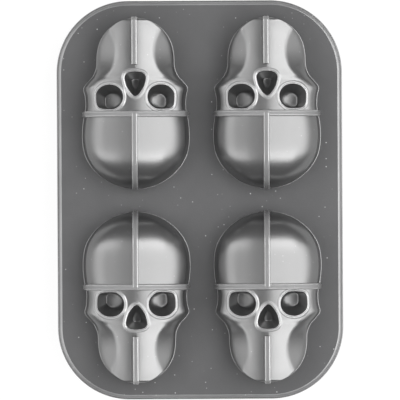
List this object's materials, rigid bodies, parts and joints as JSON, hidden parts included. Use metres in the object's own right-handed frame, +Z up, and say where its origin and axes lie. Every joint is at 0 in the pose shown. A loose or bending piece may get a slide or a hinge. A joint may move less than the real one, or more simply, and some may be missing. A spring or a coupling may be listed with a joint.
{
  "type": "skull ice mould",
  "caption": "Two-part silicone mould for skull-shaped ice: a face tray with moulded faces closes on a back tray with domed backs, a sealing bead round each cavity and fill spouts.",
  "frame": {"origin": "on the surface that the mould stands on, under the middle of the tray", "axes": "+Z up, out of the faces; +Y along the tray's long side, towards the row of skulls whose chins point up in the picture; +X to the right of the picture"},
  "size_m": [0.107, 0.1494, 0.048],
  "materials": {
    "silicone_plate": "matte dark grey silicone",
    "silicone_shell": "polished dark grey silicone"
  },
  "bodies": {
    "back_tray": {"back_tray_plate": "silicone_plate", "sealing_bead_lower_left": "silicone_shell", "sealing_bead_lower_right": "silicone_shell", "sealing_bead_upper_left": "silicone_shell", "sealing_bead_upper_right": "silicone_shell", "back_shell_lower_left": "silicone_shell", "back_shell_lower_right": "silicone_shell", "back_shell_upper_left": "silicone_shell", "back_shell_upper_right": "silicone_shell", "fill_spout_lower_left": "silicone_shell", "fill_spout_lower_right": "silicone_shell", "fill_spout_upper_left": "silicone_shell", "fill_spout_upper_right": "silicone_shell"},
    "face_tray": {"face_tray_plate": "silicone_plate", "face_shell_lower_left": "silicone_shell", "face_shell_lower_right": "silicone_shell", "face_shell_upper_left": "silicone_shell", "face_shell_upper_right": "silicone_shell"}
  },
  "joints": [
    {"name": "face_tray_lift", "type": "slide", "parent": "back_tray", "child": "face_tray", "axis": [0, 0, 1], "range_m": [0, 0.06]}
  ]
}
